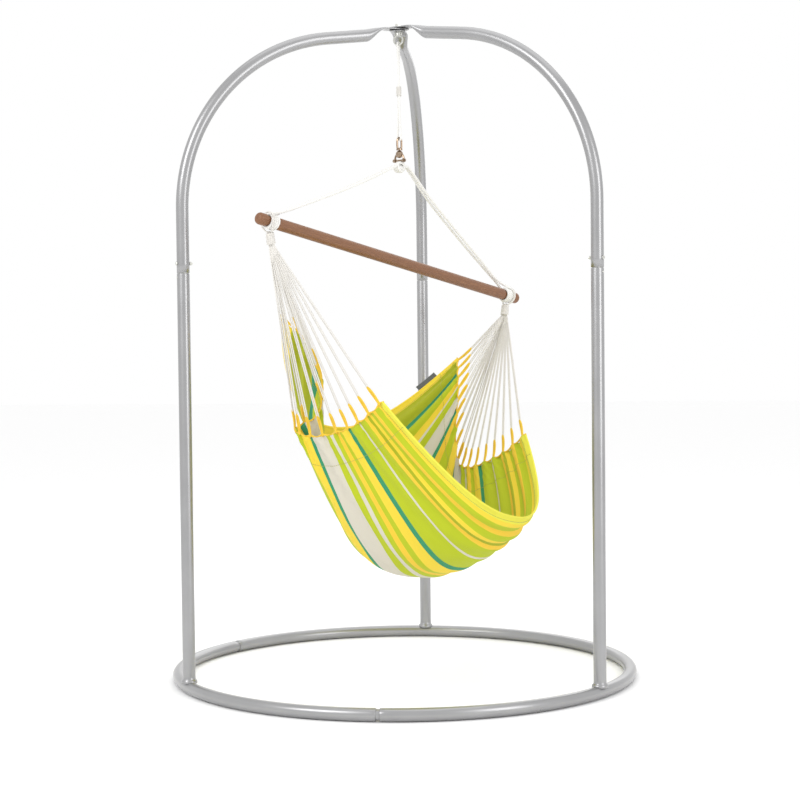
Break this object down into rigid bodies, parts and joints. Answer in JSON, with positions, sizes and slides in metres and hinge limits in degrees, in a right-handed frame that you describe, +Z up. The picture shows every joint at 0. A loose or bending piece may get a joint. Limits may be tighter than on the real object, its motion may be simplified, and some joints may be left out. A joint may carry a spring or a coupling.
{
  "type": "hammock chair on stand",
  "caption": "Striped cloth hammock chair hung by cords and a wooden spreader bar from an arched steel tube stand on a floor ring.",
  "frame": {"origin": "on the floor, at the middle of the floor ring", "axes": "+Z up, +Y towards the back post, +X towards the right post's side"},
  "size_m": [1.335, 1.3394, 1.8718],
  "materials": {
    "powder_coated_steel": "satin silver-grey powder coat",
    "zinc_plated_steel": "zinc plated",
    "stainless_steel": "polished",
    "white_rope": "braided white rope",
    "cotton_cord": "twisted off-white cotton",
    "hardwood": "reddish brown, matt, grain along the bar",
    "yellow_tape": "woven yellow edge cord",
    "striped_cloth": "woven cotton in lime, yellow, cream and green stripes",
    "grey_label": "blank dark grey woven label"
  },
  "bodies": {
    "stand": {"ring_segment_back": "powder_coated_steel", "ring_spigot_after_back": "powder_coated_steel", "ring_segment_left": "powder_coated_steel", "ring_spigot_after_left": "powder_coated_steel", "ring_segment_right": "powder_coated_steel", "ring_spigot_after_right": "powder_coated_steel", "post_back": "powder_coated_steel", "post_sleeve_back": "zinc_plated_steel", "arm_back": "powder_coated_steel", "joint_bolt_back": "zinc_plated_steel", "joint_nut_back": "zinc_plated_steel", "locking_stud_back": "zinc_plated_steel", "post_left": "powder_coated_steel", "post_sleeve_left": "zinc_plated_steel", "arm_left": "powder_coated_steel", "joint_bolt_left": "zinc_plated_steel", "joint_nut_left": "zinc_plated_steel", "locking_stud_left": "zinc_plated_steel", "post_right": "powder_coated_steel", "post_sleeve_right": "zinc_plated_steel", "arm_right": "powder_coated_steel", "joint_bolt_right": "zinc_plated_steel", "joint_nut_right": "zinc_plated_steel", "locking_stud_right": "zinc_plated_steel", "hub_washer_top": "zinc_plated_steel", "hub_washer_bottom": "zinc_plated_steel", "hub_bolt": "zinc_plated_steel", "eye_nut": "zinc_plated_steel"},
    "sling": {"suspension_sling": "white_rope"},
    "bail": {"swivel_bail": "stainless_steel"},
    "chair_frame": {"swivel_rivet": "stainless_steel", "swivel_fork": "stainless_steel", "fork_pin": "stainless_steel", "apex_knot": "white_rope", "bridle_rope_left": "white_rope", "bridle_rope_right": "white_rope", "spreader_bar": "hardwood", "bar_wrap_left": "white_rope", "bar_wrap_right": "white_rope"},
    "seat": {"strings_left": "cotton_cord", "strings_right": "cotton_cord", "edge_loops_left": "yellow_tape", "edge_loops_right": "yellow_tape", "seat_cloth": "striped_cloth", "blank_label": "grey_label"}
  },
  "joints": [
    {"name": "sling_swing", "type": "hinge", "parent": "stand", "child": "sling", "pos_m": [0, 0, 1.8136], "axis": [0.9455, -0.3256, 0], "range_deg": [-3, 3]},
    {"name": "bail_swing", "type": "hinge", "parent": "sling", "child": "bail", "pos_m": [0, 0, 1.5476], "axis": [0.592, 0.8059, 0], "range_deg": [-3, 3]},
    {"name": "chair_spin", "type": "hinge", "parent": "bail", "child": "chair_frame", "pos_m": [0, 0, 0], "axis": [0, 0, 1], "continuous": true},
    {"name": "seat_tilt", "type": "hinge", "parent": "chair_frame", "child": "seat", "pos_m": [-0.00888, -0.01209, 1.194], "axis": [0.5816, 0.7918, -0.1865], "range_deg": [-8, 8]}
  ]
}
